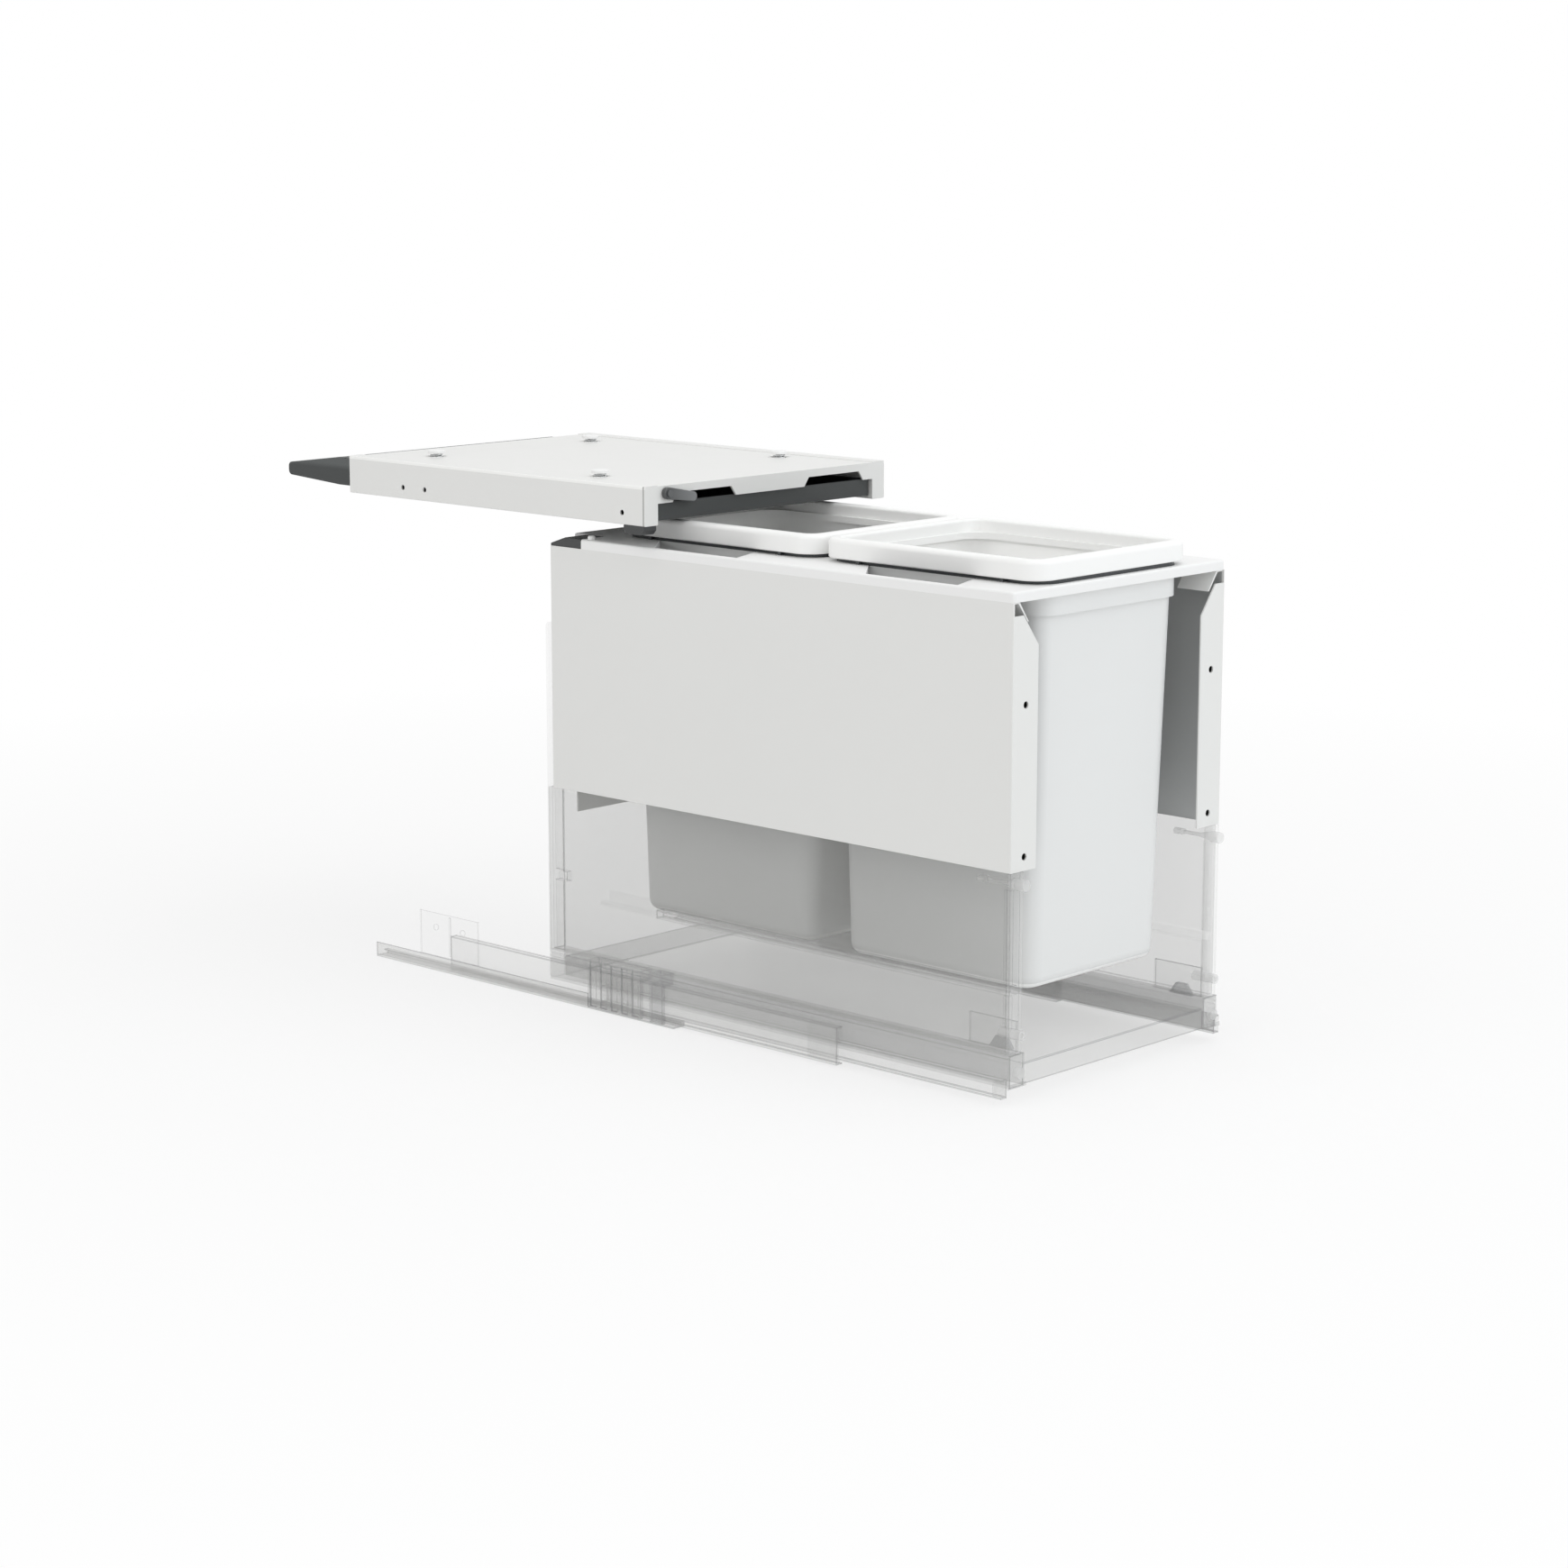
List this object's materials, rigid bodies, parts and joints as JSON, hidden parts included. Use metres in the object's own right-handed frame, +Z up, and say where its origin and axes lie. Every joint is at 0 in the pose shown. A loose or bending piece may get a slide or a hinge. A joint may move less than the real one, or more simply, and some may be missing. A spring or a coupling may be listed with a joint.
{
  "type": "pull out bin frame",
  "caption": "Pull-out bin frame on telescopic rails, with lift-out bins in a top plate, under a cabinet-fixed cover whose spring-hung inner lid lowers onto them.",
  "frame": {"origin": "centre of the footprint with the drawer pulled out, level with the underside of the cabinet rails", "axes": "+X to the right across the cabinet, +Y into the cabinet, +Z up; the drawer comes out towards -Y"},
  "size_m": [0.268, 0.791, 0.4164],
  "materials": {
    "frame_paint": "smooth satin white powder coat",
    "plate_plastic": "satin white moulding",
    "bin_plastic": "smooth white moulding with a soft gloss",
    "dark_plastic": "matt dark grey moulding",
    "lid_plastic": "matt dark grey moulding",
    "lever_plastic": "satin grey moulding",
    "roller_plastic": "satin pale grey",
    "pin_steel": "plain zinc",
    "pin_white": "satin white",
    "rail_steel": null,
    "rail_grey_plastic": null,
    "stop_plastic": "matt black",
    "clear_plate": "satin pale grey, half clear",
    "side_metal": null,
    "glass": "clear smooth glass",
    "strip_metal": "satin pale grey, half clear",
    "base_board": "satin grey, half clear",
    "back_metal": "satin pale grey, half clear"
  },
  "bodies": {
    "cabinet_fixing": {"left_cabinet_rail": "rail_steel", "right_cabinet_rail": "rail_steel", "left_rail_bracket": "clear_plate", "right_rail_bracket": "clear_plate", "left_guide_block": "rail_grey_plastic", "right_guide_block": "rail_grey_plastic", "left_rail_stop": "stop_plastic", "right_rail_stop": "stop_plastic", "left_lid_beam": "frame_paint", "right_lid_beam": "frame_paint", "lid_cover": "frame_paint", "lid_guide_pad": "dark_plastic", "lever_pin": "pin_steel", "lid_springs": "pin_steel"},
    "left_middle": {"left_middle_rail": "rail_steel", "left_middle_shoe": "rail_grey_plastic"},
    "right_middle": {"right_middle_rail": "rail_steel", "right_middle_shoe": "rail_grey_plastic"},
    "drawer": {"left_drawer_rail": "rail_steel", "right_drawer_rail": "rail_steel", "left_drawer_shoe": "rail_grey_plastic", "right_drawer_shoe": "rail_grey_plastic", "left_side_profile": "side_metal", "right_side_profile": "side_metal", "left_glass_side": "glass", "right_glass_side": "glass", "left_front_strip": "strip_metal", "right_front_strip": "strip_metal", "left_gallery_rail": "strip_metal", "right_gallery_rail": "strip_metal", "left_fixing_plate": "clear_plate", "right_fixing_plate": "clear_plate", "left_back_holder": "strip_metal", "right_back_holder": "strip_metal", "left_frame_panel": "frame_paint", "right_frame_panel": "frame_paint", "rail_caps": "rail_grey_plastic", "end_caps": "dark_plastic", "front_pegs": "pin_steel", "front_blades": "dark_plastic", "top_pegs": "pin_steel", "fixing_blocks": "dark_plastic", "base_panel": "base_board", "back_panel": "back_metal", "top_plate": "plate_plastic", "cross_wall": "frame_paint", "corner_gussets": "frame_paint", "corner_ramps": "dark_plastic", "plate_screws": "pin_steel", "front_bin": "bin_plastic", "rear_bin": "bin_plastic"},
    "inner_lid": {"inner_lid": "lid_plastic", "hanger_pins": "pin_white"},
    "lever": {"lid_lever": "lever_plastic", "lever_roller": "roller_plastic"}
  },
  "joints": [
    {"name": "drawer_slide", "type": "slide", "parent": "cabinet_fixing", "child": "drawer", "axis": [0, 1, 0], "range_m": [-0.155, 0.345]},
    {"name": "left_middle_slide", "type": "slide", "parent": "cabinet_fixing", "child": "left_middle", "axis": [0, 1, 0], "range_m": [-0.0775, 0.1725]},
    {"name": "right_middle_slide", "type": "slide", "parent": "cabinet_fixing", "child": "right_middle", "axis": [0, 1, 0], "range_m": [-0.0775, 0.1725]},
    {"name": "lid_drop", "type": "slide", "parent": "cabinet_fixing", "child": "inner_lid", "axis": [0, 0, -1], "range_m": [0, 0.0024], "stiffness_N_per_m": 700, "springref_m": -0.02, "deforming": ["lid_springs"]},
    {"name": "lever_swing", "type": "hinge", "parent": "cabinet_fixing", "child": "lever", "pos_m": [-0.112, -0.0439, 0.4057], "axis": [0, 1, 0], "range_deg": [0, 5.3]}
  ],
  "couplings": [
    {"joint": "left_middle_slide", "follows": "drawer_slide", "ratio": 0.5},
    {"joint": "right_middle_slide", "follows": "drawer_slide", "ratio": 0.5},
    {"joint": "lever_swing", "follows": "lid_drop", "rad_per_m": 38.462}
  ]
}
